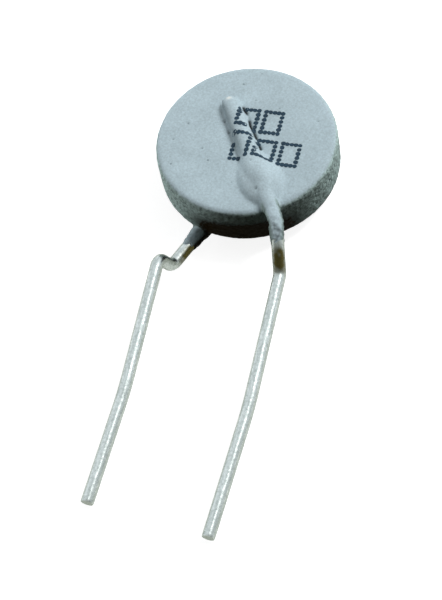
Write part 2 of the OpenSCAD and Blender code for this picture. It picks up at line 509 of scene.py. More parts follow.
@dataclass(frozen=True)
class DippedLacquer:
    """Dip coated silicone lacquer, air dried: powdery matt, with pinholes and a rougher rim."""

    face: str = "AABBC2"
    # Lighter and greener than the face: partly the rougher coat's own tone, partly painted light for the
    # lamp light that the rim lacks
    rim: str = "B8D0CD"
    # Dark brown: a real stain on the rim and on the sleeves' ends, and painted shade on the rim
    stain_and_painted_shade: str = "160D00"
    pit: str = "87959B"
    # Near black: painted shade in the crack's groove and along the ridge's flank, and real dark spots
    crack_and_painted_shade: str = "16181A"
    # Near white: a painted glint at the tip of the front wire's ridge, standing for tin that shows through
    # thin lacquer
    painted_glint_tint: str = "F2EEE4"
    roughness: float = 0.62
    ior: float = 1.43
    gloss: float = 0.06
    # Filler grains, taken as 0.03 mm wide, would not show, so they are drawn three times as wide
    speckle_mm: float = 0.09
    # Slow drift of tone where the wet coat drained
    cloud_mm: float = 1.3
    # Spacing of the places where a bubble may have left a pinhole, and the share of them that have none
    pit_mm: float = 0.62
    pit_free: float = 0.62
    # Pores of the rim, at about the width that can be seen
    sponge_mm: float = 0.14
    # Share of its strength that each finer layer of the grains and of the pores keeps
    speckle_rough: float = 0.65
    sponge_rough: float = 0.6
    # Pattern values from and to, and what they give: tones, then the edges of the stain and painted shade,
    # and of pinholes
    cloud_tone: Span = (0.25, 0.75, 0.94, 1.06)
    fleck_tone: Span = (0.25, 0.75, 0.8, 1.2)
    pore_tone: Span = (0.36, 0.62, 0.4, 1.3)
    stain_and_shade_edge: Span = (0.35, 0.65, 1.1, 1.7)
    pit_edge: Span = (0.03, 0.13, 1.0, 0.0)
    fleck_relief: float = 0.35
    bump_strength: float = 0.55
    bump_mm: float = 0.05

    def pinholes(self, graph: Graph, place: Socket) -> Socket:
        """Works out where bubbles left pinholes.

        Args:
            graph: Graph of the finish.
            place: Place in mm.

        Returns:
            Depth from 0 to 1.
        """
        inputs = {"Vector": place, "Scale": 1 / self.pit_mm, "Randomness": 1.0}
        cells = graph.add("TexVoronoi", inputs).outputs
        hole = graph.span(cells["Distance"], self.pit_edge, "SMOOTHSTEP")
        draw = graph.add("SeparateColor", {"Color": cells["Color"]}).outputs[0]
        return graph.work("MULTIPLY", hole, graph.work("GREATER_THAN", draw, self.pit_free))

    def material(self) -> bpy.types.Material:
        """Builds the lacquer.

        Returns:
            A matt grey with fine specks, pinholes, a sponge-like rim, a thin dark run that is partly painted
            shade, painted shade on the rim, in the crack and beside the ridge, and a painted glint.
        """
        # Filler stands proud of the dried film: to the eye a chalky grey, hardly shiny, greener where porous
        made, graph, shader = new_finish("dipped_grey_silicone_lacquer")
        place = graph.millimetres()
        cloud = graph.pattern(place, self.cloud_mm, SOFT_LAYERS)
        speck = graph.pattern(place, self.speckle_mm, FINE_LAYERS, self.speckle_rough)
        sponge = graph.pattern(place, self.sponge_mm, FINE_LAYERS, self.sponge_rough)
        pits = self.pinholes(graph, place)
        rim = graph.mask("rim")
        even = graph.work("MULTIPLY", graph.span(cloud, self.cloud_tone), graph.span(speck, self.fleck_tone))
        porous = graph.span(rim, (0.0, 1.0, 1.0, graph.span(sponge, self.pore_tone)))
        shade = graph.work("MULTIPLY", even, porous)
        # The rim's lighter colour is partly painted light, standing in for the lamp light that the rim lacks
        ground = graph.mix(rim, linear(self.face), linear(self.rim))
        colour = graph.add("VectorMath", {0: ground, "Scale": shade}, operation="SCALE").outputs[0]
        ragged = graph.span(sponge, self.stain_and_shade_edge)
        marks_and_painted_light = (
            (pits, self.pit),
            # Dark brown: the run, which is partly real, painted shade on the rim, and the real mottled ends
            # of the sleeves
            (graph.work("MULTIPLY", ragged, graph.mask("stain_and_painted_shade"), clamp=True), self.stain_and_painted_shade),
            # Near black: painted shade in the crack and along the ridge's flank, and real dark spots
            (graph.mask("crack_and_painted_shade"), self.crack_and_painted_shade),
            # Painted glint at the tip of the front wire's ridge
            (graph.mask("painted_glint"), self.painted_glint_tint),
        )
        for share, tint in marks_and_painted_light:
            colour = graph.mix(share, colour, linear(tint))
        coarse = graph.work("MULTIPLY", sponge, rim)
        relief = graph.work("MULTIPLY_ADD", speck, self.fleck_relief, coarse)
        sunk = graph.work("SUBTRACT", relief, pits)
        look = {
            "Base Color": colour,
            "Normal": graph.bump(sunk, self.bump_strength, self.bump_mm),
            "Roughness": self.roughness,
            "IOR": self.ior,
            "Specular IOR Level": self.gloss,
        }
        graph.feed(shader, look)
        return made


@dataclass(frozen=True)
class TinnedCopper:
    """Hot tinned copper wire: bright, with long drawn streaks and dull patches from handling."""

    bright: str = "E4EAE8"
    dull: str = "BEC6C3"
    # Dark olive brown: partly flux residue, partly a painted reflection of dark surroundings on one side of
    # the wire
    flux_and_painted_reflection: str = "625A34"
    # Draw marks, taken as 0.02 mm wide, would not show, so they are drawn five times as wide
    streak_mm: float = 0.1
    # Share of its width that a streak keeps along the wire, so a small share gives a long streak
    streak_stretch: float = 0.12
    # Grains of the frozen tin and dull spots from handling
    patch_mm: float = 0.13
    # Pattern values from and to, and what they give: dull to bright, then rough to smooth
    tone_span: Span = (0.14, 0.36, 0.0, 1.0)
    rough_span: Span = (0.3, 0.7, 0.36, 0.2)
    bump_strength: float = 0.18
    bump_mm: float = 0.02

    def material(self) -> bpy.types.Material:
        """Builds the tinned wire.

        Returns:
            A metal whose tone and roughness vary in streaks along the wire.
        """
        # Tin froze on drawn wire: to the eye a bright, soft mirror in long streaks, plain where it was cut
        made, graph, shader = new_finish("hot_tinned_copper_wire")
        along = graph.add("Attribute", attribute_name="unrolled").outputs["Vector"]
        stretch = (self.streak_stretch, 1.0, 1.0)
        drawn = graph.add("VectorMath", {0: along, 1: stretch}, operation="MULTIPLY").outputs[0]
        streak = graph.pattern(drawn, self.streak_mm, SOFT_LAYERS)
        patch = graph.pattern(along, self.patch_mm, FINE_LAYERS)
        tone = graph.span(graph.work("MULTIPLY", streak, patch), self.tone_span)
        fresh = graph.mix(tone, linear(self.dull), linear(self.bright))
        # Brown tint: partly flux, partly a painted dark reflection
        flux_and_reflection_tinted = graph.mix(graph.mask("flux_and_painted_reflection"), fresh, linear(self.flux_and_painted_reflection))
        cut = graph.mask("cut")
        strength = graph.span(cut, (0.0, 1.0, self.bump_strength, 0.0))
        look = {
            "Base Color": graph.mix(cut, flux_and_reflection_tinted, linear(self.bright)),
            "Normal": graph.bump(streak, strength, self.bump_mm),
            "Roughness": graph.span(patch, self.rough_span),
            "Metallic": 1.0,
        }
        graph.feed(shader, look)
        return made


@dataclass(frozen=True)
class GrainedFinish:
    """A plain finish: one colour broken up by a grain that is given in mm."""

    name: str
    light: str
    dark: str
    grain_mm: float
    roughness: float
    metallic: float
    bump_strength: float = 0.3
    bump_mm: float = 0.02
    # Pattern values up to which the grain is dark, and from which it is light
    dark_to: float = 0.35
    light_from: float = 0.65

    def material(self) -> bpy.types.Material:
        """Builds the finish.

        Returns:
            A two tone grain with a matching relief.
        """
        made, graph, shader = new_finish(self.name)
        crumb = graph.pattern(graph.millimetres(), self.grain_mm, FINE_LAYERS)
        look = {
            "Base Color": graph.ramp(crumb, ((self.dark_to, self.dark), (self.light_from, self.light))),
            "Normal": graph.bump(crumb, self.bump_strength, self.bump_mm),
            "Roughness": self.roughness,
            "Metallic": self.metallic,
        }
        graph.feed(shader, look)
        return made


# Fired ceramic, not glazed: to the eye a dull brown stone, its grains, taken as 0.01 mm, drawn coarser
CERAMIC_FINISH = GrainedFinish("sintered_titanate_ceramic", "5A4C40", "463A31", 0.08, 0.8, 0.0)
# Silver paste, screened and fired: to the eye a satin white metal with faint marks of the mesh
SILVER_FINISHES = tuple(
    GrainedFinish(name, "DAD8D2", "BDBBB4", 0.12, 0.45, 1.0)
    for name in ("fired_silver_layer", "fired_silver_layer_rear")
)
# Solder, melted and set: to the eye a smooth grey metal with slight frosting
SOLDER_FINISHES = tuple(
    GrainedFinish(name, "C9CBCB", "A6A9A9", 0.2, 0.35, 1.0) for name in ("tin_solder", "tin_solder_rear")
)
# Jetted ink, soaked into matt lacquer: to the eye flat dark navy
INK_FINISH = GrainedFinish("navy_jet_ink", "1F3A4B", "142A38", 0.1, 0.6, 0.0)

INSIDE_FINISHES: dict[Node, tuple[Slot, GrainedFinish]] = {
    Node.CERAMIC: (Slot.CERAMIC, CERAMIC_FINISH),
    Node.FRONT_ELECTRODE: (Slot.ELECTRODE, SILVER_FINISHES[0]),
    Node.REAR_ELECTRODE: (Slot.ELECTRODE, SILVER_FINISHES[1]),
    Node.FRONT_SOLDER: (Slot.SOLDER, SOLDER_FINISHES[0]),
    Node.REAR_SOLDER: (Slot.SOLDER, SOLDER_FINISHES[1]),
}


@dataclass(frozen=True)
class FluxAndPaintedReflection:
    """Brown tint on a wire: partly flux left on it, partly a painted dark reflection.

    Place and spread along the wire are in mm, the side that it faces in degrees, its half width in radians.
    """

    at: float
    spread: float
    strength: float
    facing: float
    half_width: float


@dataclass(frozen=True)
class Nick:
    """A dent in a wire: place along it in mm, side in degrees and depth in mm."""

    at: float
    facing: float
    depth: float


@dataclass
class LeadWire:
    """One tinned wire: its path, cut ends, uneven tin, nicks and a brown tint that is partly flux and partly
    a painted dark reflection.
    """

    node: Node
    path: WirePath
    flux_and_reflection: FluxAndPaintedReflection
    nicks: tuple[Nick, ...]
    seed: float
    wire_r: float = 0.3
    step: float = 0.06
    sides: int = 40
    cut_edge: float = 0.012
    tin_swell: float = 0.002
    swell_mm: float = 0.34
    swell_stretch: float = 0.45
    nick_l: float = 0.16
    nick_turn: float = 0.6
    patch_mm: float = 0.22
    patch_shift: float = 40.0
    patch_mean: float = 0.75
    patch_swing: float = 0.5

    def radii(self, line: Centreline, angles: np.ndarray, unrolled: np.ndarray) -> np.ndarray:
        """Works out the wire's radius at each vertex.

        Args:
            line: The wire's centreline.
            angles: Angle in radians of each vertex of a ring.
            unrolled: Length along the wire and both cross places of each vertex, in mm.

        Returns:
            Radius in mm, one row per ring.
        """
        s = line.lengths[:, None]
        end = np.minimum(s, line.lengths[-1] - s)
        near = 1 - np.clip(end / self.cut_edge, 0, 1)
        rounding = self.cut_edge * (1 - np.sqrt(np.clip(1 - near**2, 0, 1)))
        stretch = np.array([self.swell_stretch, 1.0, 1.0])
        swell = grain(unrolled * stretch, self.swell_mm, self.seed).reshape(len(line.lengths), -1)
        radii = self.wire_r - self.tin_swell + self.tin_swell * swell - rounding
        for nick in self.nicks:
            turn = np.angle(np.exp(1j * (angles - math.radians(nick.facing))))[None, :]
            radii = radii - nick.depth * bell(s - nick.at, self.nick_l) * bell(turn, self.nick_turn)
        return radii

    def flux_and_painted_reflection(self, unrolled: np.ndarray, angles: np.ndarray) -> np.ndarray:
        """Works out how far the brown tint covers each vertex: partly flux, partly a painted dark
        reflection.

        Args:
            unrolled: Length along the wire and both cross places of each vertex, in mm.
            angles: Angle in radians of each vertex round the wire.

        Returns:
            Cover from 0 to 1, one value per vertex.
        """
        left = self.flux_and_reflection
        turn = np.angle(np.exp(1j * (angles - math.radians(left.facing))))
        sided = bell(turn, left.half_width, 4)
        along = bell(unrolled[:, 0] - left.at, left.spread, 4)
        patchy = grain(unrolled, self.patch_mm, self.seed + self.patch_shift)
        cover = left.strength * along * sided * (self.patch_mean + self.patch_swing * patchy)
        return np.clip(cover, 0, 1)

    def build(self, material: bpy.types.Material) -> bpy.types.Object:
        """Sweeps the wire and dresses it.

        Args:
            material: Tinned wire finish.

        Returns:
            The wire's object.
        """
        line = self.path.run(self.step)
        whole, rings = line.lengths[-1], len(line.lengths)
        angles = np.arange(self.sides) * 2 * math.pi / self.sides
        cross = [np.tile(np.cos(angles), rings) * self.wire_r, np.tile(np.sin(angles), rings) * self.wire_r]
        unrolled = np.stack([np.repeat(line.lengths, self.sides)] + cross, axis=1)
        radii = self.radii(line, angles, unrolled)
        points, faces = sweep(line, radii)
        unrolled = np.vstack([unrolled, [0.0, 0.0, 0.0], [whole, 0.0, 0.0]])
        masks = {
            "unrolled": unrolled,
            "flux_and_painted_reflection": self.flux_and_painted_reflection(unrolled, np.append(np.tile(angles, rings), [0.0, 0.0])),
            "cut": np.where(np.minimum(unrolled[:, 0], whole - unrolled[:, 0]) < TINY, 1.0, 0.0),
        }
        made = make_object(self.node.value + "_wire", points, faces, masks)
        made.data.polygons.foreach_set("use_smooth", [len(f) == 4 for f in faces])
        last = radii.size - self.sides
        for edge in made.data.edges:
            edge.use_edge_sharp = all(v < self.sides or last <= v < radii.size for v in edge.vertices)
        made.data.materials.append(material)
        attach(made, "root")
        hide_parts(self.node.value)
        LOG.info("%s: %d faces, %.2f mm of wire", made.name, len(faces), whole)
        return made


@dataclass
class WireLacquer:
    """Lacquer that follows a wire over the face, swells over its joint and runs out past the rim."""

    path: WirePath
    run_out: Pairs
    film_r: float = 0.46
    film_t: float = 0.16
    mound_r: float = 0.64
    mound_l: float = 2.86
    mound_at: float = 4.42
    pool_at: float = 4.75
    step: float = 0.05
    sides: int = 48
    lump: float = 0.04
    wire_r: float = 0.3
    solder_depth: float = 0.18
    least_film: float = 0.05
    lump_mm: float = 0.4
    lump_shift: float = 5.0
    tip_share: float = 0.05

    def hump(self, at: np.ndarray) -> np.ndarray:
        """Works out the swelling over the joint.

        Args:
            at: Places along the wire in mm.

        Returns:
            Share of the full swelling, from 0 to 1.
        """
        t = np.clip((at - self.mound_at + self.mound_l / 2) / self.mound_l, 0, 1)
        return (1 - np.cos(2 * math.pi * t)) / 2

    def body(self) -> tuple[np.ndarray, Faces]:
        """Sweeps the lacquer as a closed tube.

        Returns:
            Vertices in mm and faces.
        """
        line = self.path.lead_in(self.film_t).run(self.step)
        at = line.lengths - self.film_t
        keep = at <= self.run_out[-1][0]
        line = Centreline(line.points[keep], line.tangents[keep], line.lengths[keep])
        at = at[keep]
        stops = ((0.0, self.film_r),) + self.run_out
        radius = np.interp(at, [p for p, _ in stops], [r for _, r in stops])
        radius = radius + (self.mound_r - self.film_r) * self.hump(at)
        cap = np.clip(line.lengths / self.film_r, 0, 1)
        radius = radius * np.sqrt(np.clip(1 - (1 - cap) ** 2, 0.0, 1)).clip(self.tip_share)
        radii = np.repeat(radius[:, None], self.sides, axis=1)
        even = sweep(line, radii)[0][: radii.size]
        lumps = grain(even, self.lump_mm, self.lump_shift).reshape(radii.shape)
        return sweep(line, radii + self.lump * lumps * np.minimum(radii / self.film_r, 1.0))

    def cover(self, points: np.ndarray) -> np.ndarray:
        """Pushes the skin out to where it covers the wire and its joint.

        Args:
            points: The skin's vertices in mm.

        Returns:
            The vertices, moved off the metal where they lay too close.
        """
        start, way = self.path.first_run()
        at = (points - start) @ way
        spoke = points - start - at[:, None] * way
        reach = np.linalg.norm(spoke, axis=1).clip(TINY)
        least = self.wire_r + self.least_film + self.solder_depth * self.hump(at)
        short = (at > -self.least_film) & (at < self.run_out[0][0]) & (reach < least)
        return points + spoke * np.where(short, least / reach - 1, 0.0)[:, None]


@dataclass
class LacquerCoat:
    """The grey skin: a dipped disc, two lacquered wires, their swollen joints and a rough rim.

    Lengths are in mm, places in mm from the disc's middle, bearings in degrees from the side that the leads
    leave by, and shares from 0 to 1. The eases of rim, sleeve and mottle are in disc radii.
    """

    front: WireLacquer
    rear: WireLacquer
    middle: Point
    disc_r: float = 4.25
    disc_t: float = 2.2
    edge_r: float = 0.3
    voxel: float = 0.05
    disc_segments: int = 192
    disc_rings: int = 8
    edge_rows: int = 9
    apron_segments: int = 48
    apron_rows: int = 17
    flow: float = 0.5
    passes: int = 8
    pool_passes: int = 16
    pool_r: float = 1.6
    pool_stretch: Point = (1.0, 1.0, 0.6)
    apron: Point = (1.5, 1.02, 0.56)
    apron_sink: float = 0.05
    hub_r: float = 0.5
    flat_margin: float = 0.1
    upright_ease: Ease = (0.35, 0.85)
    rim_ease: Ease = (0.9, 0.97)
    sleeve_ease: Ease = (1.0, 1.06)
    sponge_mm: float = 0.2
    sponge_fine_mm: float = 0.11
    sponge_fine_share: float = 0.6
    sponge_h: float = 0.02
    sponge_sink: float = 0.008
    sleeve_h: float = 0.022
    wave_mm: float = 1.1
    wave_h: float = 0.012
    fine_mm: float = 0.13
    fine_h: float = 0.004
    crack_w: float = 0.075
    crack_depth: float = 0.08
    crack_break_mm: float = 0.5
    crack_break: Ease = (-0.6, 0.05)
    crack_gain: float = 1.6
    crack_floor: float = 0.35
    top_tilt: float = 0.05
    spot_share: float = 0.55
    # The dark run: partly a real brown run of thin lacquer, partly painted shade on the rim's lower half, on
    # the side that the leads leave by
    run_and_shade_bearing: float = 10.0
    run_and_shade_half: float = 33.0
    run_and_shade_share: float = 0.8
    run_and_shade_height: Ease = (-0.4, 0.6)
    # Painted shade: darkens the rim round this bearing, on the side that the leads leave by
    painted_rim_shade_bearing: float = 20.0
    painted_rim_shade_half: float = 52.0
    painted_rim_shade_share: float = 0.4
    mottle_mm: float = 0.16
    mottle_share: float = 0.35
    mottle_ease: Ease = (1.15, 1.3)
    mottle_spots: Ease = (-0.1, 0.5)
    # Painted shade along the left flank of the front wire's ridge, the side away from the key lamp
    painted_flank_shade_left: float = 0.4
    painted_flank_shade_w: float = 0.15
    painted_flank_shade_share: float = 0.36
    painted_flank_shade_start: Ease = (-0.3, 0.3)
    painted_flank_shade_end: Ease = (2.4, 3.6)
    # A painted glint: a near white spot at the tip of the front wire's ridge
    painted_glint_r: float = 0.13
    painted_glint_share: float = 0.8
    # Path of the crack, whose groove is painted dark as shade
    crack_and_painted_shade: Pairs = ((-0.52, 1.72), (-0.2, 1.3), (0.1, 0.66), (0.42, 0.2), (0.84, -0.5))
    spots: tuple[tuple[float, float, float], ...] = (
        (-2.89, 0.45, 0.07),
        (-3.36, -0.55, 0.05),
        (-1.89, -0.85, 0.06),
        (3.11, 1.46, 0.05),
        (-1.19, 0.77, 0.07),
        (-0.86, 0.18, 0.09),
        (-0.56, -0.51, 0.07),
        (0.67, -1.6, 0.06),
        (1.21, -2.97, 0.07),
    )
    # Place of the painted glint, in mm from the front wire's start
    painted_glint: Point = (0.02, 0.0, 0.44)
    points: np.ndarray = field(default_factory=lambda: np.zeros((0, 3)))
    faces: Faces = field(default_factory=list)

    def disc(self) -> tuple[np.ndarray, Faces]:
        """Turns the dipped disc with its rounded edges.

        Returns:
            Vertices in mm and faces.
        """
        half, round_r = self.disc_t / 2, self.edge_r
        turn = np.linspace(0, math.pi / 2, self.edge_rows)
        flat = self.disc_r - round_r
        low = [(flat + round_r * math.sin(a), -half + round_r - round_r * math.cos(a)) for a in turn]
        high = [(r, -h) for r, h in reversed(low)]
        flat_r = np.linspace(self.hub_r, flat - self.flat_margin, self.disc_rings)
        profile = [(0.0, -half)] + [(r, -half) for r in flat_r] + low + high
        profile += [(r, half) for r in reversed(flat_r)] + [(0.0, half)]
        return turned(profile, self.middle, self.disc_segments)

    def skirt(self, wire: WireLacquer, side: float) -> tuple[np.ndarray, Faces]:
        """Makes the low apron of lacquer round a joint.

        Args:
            wire: The lacquered wire that the joint holds.
            side: 1 for the front face, -1 for the rear face.

        Returns:
            Vertices in mm and faces.
        """
        start, way = wire.path.first_run()
        spot = start + way * wire.pool_at
        spot[2] = self.middle[2] + side * (self.disc_t / 2 - self.apron_sink)
        rows = [(math.sin(a), -math.cos(a)) for a in np.linspace(0, math.pi, self.apron_rows)]
        points, faces = turned(rows, (0.0, 0.0, 0.0), self.apron_segments)
        points = points * np.array(self.apron)
        spin = np.array([[way[0], -way[1], 0.0], [way[1], way[0], 0.0], [0.0, 0.0, 1.0]])
        return points @ spin.T + spot, faces

    def fuse(self, bodies: Sequence[tuple[np.ndarray, Faces]]) -> None:
        """Fuses closed bodies to one skin of even cells.

        Args:
            bodies: Vertices in mm and faces of each body.
        """
        points, faces, count = [], [], 0
        for body, body_faces in bodies:
            points.append(body)
            faces += [tuple(i + count for i in f) for f in body_faces]
            count += len(body)
        mesh = bpy.data.meshes.new("lacquer_bodies")
        mesh.from_pydata(np.vstack(points).tolist(), [], faces)
        holder = bpy.data.objects.new("lacquer_bodies", mesh)
        bpy.context.scene.collection.objects.link(holder)
        remesh = holder.modifiers.new("skin", "REMESH")
        remesh.mode = "VOXEL"
        remesh.voxel_size = self.voxel
        remesh.adaptivity = 0.0
        shown = holder.evaluated_get(bpy.context.evaluated_depsgraph_get())
        skin = shown.to_mesh()
        flat = np.empty(len(skin.vertices) * 3, dtype=np.float32)
        skin.vertices.foreach_get("co", flat)
        self.points = flat.reshape(-1, 3).astype(float)
        self.faces = [tuple(p.vertices) for p in skin.polygons]
        shown.to_mesh_clear()
        bpy.data.objects.remove(holder)
        bpy.data.meshes.remove(mesh)

    def edges(self) -> np.ndarray:
        """Lists the skin's edges once each.

        Returns:
            Pairs of vertex indices, one row each.
        """
        pairs = [(f[i], f[(i + 1) % len(f)]) for f in self.faces for i in range(len(f))]
        return np.unique(np.sort(np.array(pairs), axis=1), axis=0)

    def relax(self) -> None:
        """Flows the skin smooth, as wet lacquer levels itself, and longest over the front joint."""
        pairs = self.edges()
        degree = np.bincount(pairs.ravel(), minlength=len(self.points))[:, None]
        start, way = self.front.path.first_run()
        joint = start + way * self.front.mound_at
        away = np.linalg.norm((self.points - joint) * np.array(self.pool_stretch), axis=1)
        pool = (self.flow * bell(away, self.pool_r, 4))[:, None]
        for step in range(self.passes + self.pool_passes):
            total = np.zeros_like(self.points)
            np.add.at(total, pairs[:, 0], self.points[pairs[:, 1]])
            np.add.at(total, pairs[:, 1], self.points[pairs[:, 0]])
            share = self.flow if step < self.passes else pool
            self.points = self.points + share * (total / degree - self.points)
        self.points = self.rear.cover(self.front.cover(self.points))

    def normals(self) -> np.ndarray:
        """Works out the way each vertex faces.

        Returns:
            Unit normals, one row per vertex.
        """
        quads = np.array([f if len(f) == 4 else f + (f[2],) for f in self.faces])
        corner = self.points[quads]
        face = np.cross(corner[:, 2] - corner[:, 0], corner[:, 3] - corner[:, 1])
        total = np.zeros_like(self.points)
        for i in range(4):
            np.add.at(total, quads[:, i], face)
        return total / np.linalg.norm(total, axis=1, keepdims=True).clip(TINY)

    def split(self, local: np.ndarray, on_top: np.ndarray) -> np.ndarray:
        """Works out the crack beside the front wire and the specks on the face.

        Args:
            local: The skin's vertices in mm from the disc's middle.
            on_top: True for each vertex that faces up.

        Returns:
            Depth from 0 to 1, one value per vertex.
        """
        gap = np.full(len(local), np.inf)
        for a, b in zip(self.crack_and_painted_shade, self.crack_and_painted_shade[1:]):
            a2, b2 = np.array(a), np.array(b)
            t = np.clip(((local[:, :2] - a2) @ (b2 - a2)) / np.dot(b2 - a2, b2 - a2), 0, 1)
            gap = np.minimum(gap, np.linalg.norm(local[:, :2] - a2 - t[:, None] * (b2 - a2), axis=1))
        depth = bell(gap, self.crack_w) * on_top
        broken = grain(self.points, self.crack_break_mm, shift=3.0)
        depth = depth * smoothstep(*self.crack_break, broken)
        for x, y, radius in self.spots:
            away = np.linalg.norm(local[:, :2] - np.array([x, y]), axis=1)
            depth = np.maximum(depth, self.spot_share * bell(away, radius) * on_top)
        return depth

    def stains_and_painted_shade(self, local: np.ndarray, rim: np.ndarray) -> np.ndarray:
        """Works out the dark run under the rim, partly real and partly painted shade, the painted shade that
        darkens the rim beside it and the mottled ends of the sleeves.

        Args:
            local: The skin's vertices in mm from the disc's middle.
            rim: Share of rim at each vertex.

        Returns:
            Stain and painted shade from 0 to 1, one value per vertex.
        """
        out = np.linalg.norm(local[:, :2], axis=1) / self.disc_r
        bearing = np.degrees(np.arctan2(local[:, 0], -local[:, 1]))
        # Darker on the rim's lower half: partly a real run, partly painted shade
        low = 1 - smoothstep(*self.run_and_shade_height, local[:, 2])
        run = bell(bearing - self.run_and_shade_bearing, self.run_and_shade_half, 4) * low
        # Painted shade that darkens the rim on the side that the leads leave by
        painted_rim_shade = self.painted_rim_shade_share * bell(bearing - self.painted_rim_shade_bearing, self.painted_rim_shade_half)
        spots = smoothstep(*self.mottle_spots, grain(self.points, self.mottle_mm, shift=41.0))
        mottle = smoothstep(*self.mottle_ease, out) * spots
        return np.maximum(rim * np.clip(painted_rim_shade + self.run_and_shade_share * run, 0, 1), self.mottle_share * mottle)

    def ridge_painted_shade_and_glint(self, local: np.ndarray) -> tuple[np.ndarray, np.ndarray]:
        """Works out the painted shade along the left flank of the front wire's ridge and the painted glint
        at that ridge's tip.

        Args:
            local: The skin's vertices in mm from the disc's middle.

        Returns:
            Painted shade and painted glint from 0 to 1, one value per vertex each.
        """
        start, way = self.front.path.first_run()
        along = (self.points - start) @ way
        left = (self.points - start) @ np.array([way[1], -way[0], 0.0])
        # Painted shade along the ridge's left flank
        painted_flank_shade = self.painted_flank_shade_share * bell(left - self.painted_flank_shade_left, self.painted_flank_shade_w) * (local[:, 2] > 0)
        painted_flank_shade = painted_flank_shade * smoothstep(*self.painted_flank_shade_start, along) * (1 - smoothstep(*self.painted_flank_shade_end, along))
        # Painted glint at the ridge's tip
        tip = np.linalg.norm(self.points - (start + np.array(self.painted_glint)), axis=1)
        return painted_flank_shade, self.painted_glint_share * bell(tip, self.painted_glint_r)

    def roughen(self) -> dict[str, np.ndarray]:
        """Adds the spongy rim, the grain of the face and the crack beside the wire.

        Returns:
            Masks for the finish: rim, stain and painted shade, crack and painted shade, and painted glint.
        """
        normals = self.normals()
        local = self.points - np.array(self.middle)
        out = np.linalg.norm(local[:, :2], axis=1) / self.disc_r
        upright = 1 - smoothstep(*self.upright_ease, np.abs(normals[:, 2]))
        rim = smoothstep(*self.rim_ease, out) * upright
        sleeve = smoothstep(*self.sleeve_ease, out)
        fine = grain(self.points, self.sponge_fine_mm, shift=31.0)
        sponge = grain(self.points, self.sponge_mm) + self.sponge_fine_share * fine
        lift = rim * (self.sponge_h * sponge - self.sponge_sink) + sleeve * self.sleeve_h * sponge
        lift = lift + self.wave_h * grain(self.points, self.wave_mm, shift=7.0)
        lift = lift + (1 - rim) * self.fine_h * grain(self.points, self.fine_mm, shift=17.0)
        depth = self.split(local, normals[:, 2] > self.top_tilt)
        self.points = self.points + normals * (lift - self.crack_depth * depth)[:, None]
        painted_flank_shade, painted_glint = self.ridge_painted_shade_and_glint(local)
        return {
            "rim": rim,
            # Stain and painted shade: the run, which is partly real, the painted rim shade and the real
            # mottling
            "stain_and_painted_shade": self.stains_and_painted_shade(local, rim),
            # Painted shade in the crack's groove and along the ridge's flank, and real dark spots
            "crack_and_painted_shade": np.maximum(np.clip(self.crack_gain * depth - self.crack_floor, 0, 1), painted_flank_shade),
            # Painted glint
            "painted_glint": painted_glint,
        }

    def build(self, material: bpy.types.Material) -> bpy.types.Object:
        """Makes the coat and dresses it.

        Args:
            material: Lacquer finish.

        Returns:
            The coat's object.
        """
        wires = [self.front.body(), self.rear.body()]
        self.fuse([self.disc()] + wires + [self.skirt(self.front, 1.0), self.skirt(self.rear, -1.0)])
        self.relax()
        masks = self.roughen()
        made = make_object("lacquer_coat", self.points, self.faces, masks)
        made.data.materials.append(material)
        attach(made, "root")
        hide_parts(Node.COATING.value)
        LOG.info("%s: %d faces", made.name, len(self.faces))
        return made


INK_BLOCK: tuple[str, ...] = (
    "11111",
    "10001",
    "10001",
    "10001",
    "10001",
    "11111",
)


